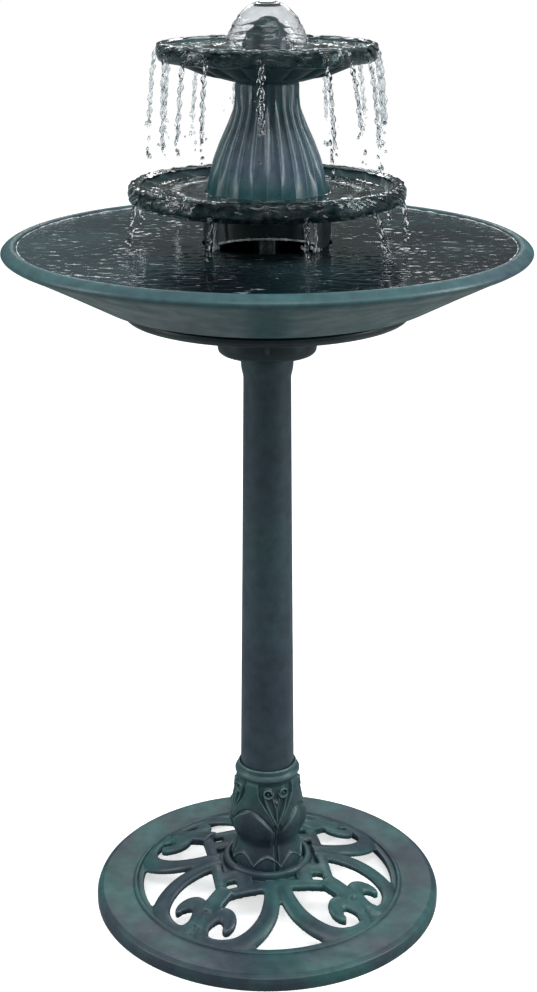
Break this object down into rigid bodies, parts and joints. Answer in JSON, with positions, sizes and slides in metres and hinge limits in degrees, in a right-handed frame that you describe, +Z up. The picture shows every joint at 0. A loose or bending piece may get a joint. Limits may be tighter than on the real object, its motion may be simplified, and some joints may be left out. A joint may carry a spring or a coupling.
{
  "type": "pedestal fountain",
  "caption": "Tall pedestal garden fountain: pierced round base, slim column, wide water basin, and a lift-off tower with a fluted column, scalloped dishes and a dome over a small pump.",
  "frame": {"origin": "on the floor at the centre of the base ring", "axes": "+Z up along the column, -Y towards the viewer"},
  "size_m": [0.573, 0.573, 1.0445],
  "materials": {
    "patina_resin": "moulded resin with an antiqued teal and slate patina, satin",
    "pump_plastic": "black moulded plastic",
    "soft_rubber": "soft black rubber",
    "clear_vinyl": "clear flexible tube",
    "stainless": "plain stainless steel",
    "magnet": "dark bonded ferrite"
  },
  "bodies": {
    "pedestal": {"base_casting": "patina_resin", "acanthus_collar": "patina_resin", "column_tube": "patina_resin", "basin_flange": "patina_resin", "basin_tray": "patina_resin", "basin_bowl": "patina_resin", "column_foot_plug": "pump_plastic", "column_head_plug": "pump_plastic", "pump_housing": "pump_plastic", "impeller_cover": "pump_plastic", "flange_gasket": "soft_rubber", "cable_grommet": "soft_rubber", "suction_cup_1": "soft_rubber", "suction_cup_2": "soft_rubber", "suction_cup_3": "soft_rubber", "suction_cup_4": "soft_rubber", "rear_bush": "soft_rubber", "front_bush": "soft_rubber", "pump_gland": "soft_rubber", "base_screw_1": "stainless", "base_screw_2": "stainless", "base_screw_3": "stainless", "base_screw_4": "stainless", "head_screw_1": "stainless", "head_screw_2": "stainless", "head_screw_3": "stainless", "head_screw_4": "stainless", "flange_screw_1": "stainless", "flange_screw_2": "stainless", "flange_screw_3": "stainless", "flange_screw_4": "stainless", "impeller_shaft": "stainless"},
    "impeller_rotor": {"impeller": "magnet"},
    "strainer": {"pump_cover": "pump_plastic"},
    "regulator": {"flow_dial": "pump_plastic"},
    "tower": {"tower_foot": "patina_resin", "lower_dish": "patina_resin", "fluted_column": "patina_resin", "riser_tube": "clear_vinyl", "tower_screw_1": "stainless", "tower_screw_2": "stainless", "tower_screw_3": "stainless"},
    "upper_tier": {"upper_dish": "patina_resin", "nozzle": "pump_plastic", "nozzle_seal": "soft_rubber"},
    "dome": {"dome_cap": "patina_resin"}
  },
  "joints": [
    {"name": "impeller_spin", "type": "hinge", "parent": "pedestal", "child": "impeller_rotor", "pos_m": [0, 0, 0.766], "axis": [0, -1, 0], "continuous": true},
    {"name": "strainer_slide", "type": "slide", "parent": "pedestal", "child": "strainer", "axis": [0, -1, 0], "range_m": [0, 0.02]},
    {"name": "flow_dial_turn", "type": "hinge", "parent": "strainer", "child": "regulator", "pos_m": [0, -0.03, 0.752], "axis": [0, -1, 0], "range_deg": [-60, 60]},
    {"name": "tower_lift", "type": "slide", "parent": "pedestal", "child": "tower", "axis": [0, 0, 1], "range_m": [0, 0.1]},
    {"name": "upper_tier_lift", "type": "slide", "parent": "tower", "child": "upper_tier", "axis": [0, 0, 1], "range_m": [0, 0.06]},
    {"name": "dome_pull", "type": "slide", "parent": "upper_tier", "child": "dome", "axis": [0, 0, 1], "range_m": [0, 0.08]}
  ]
}
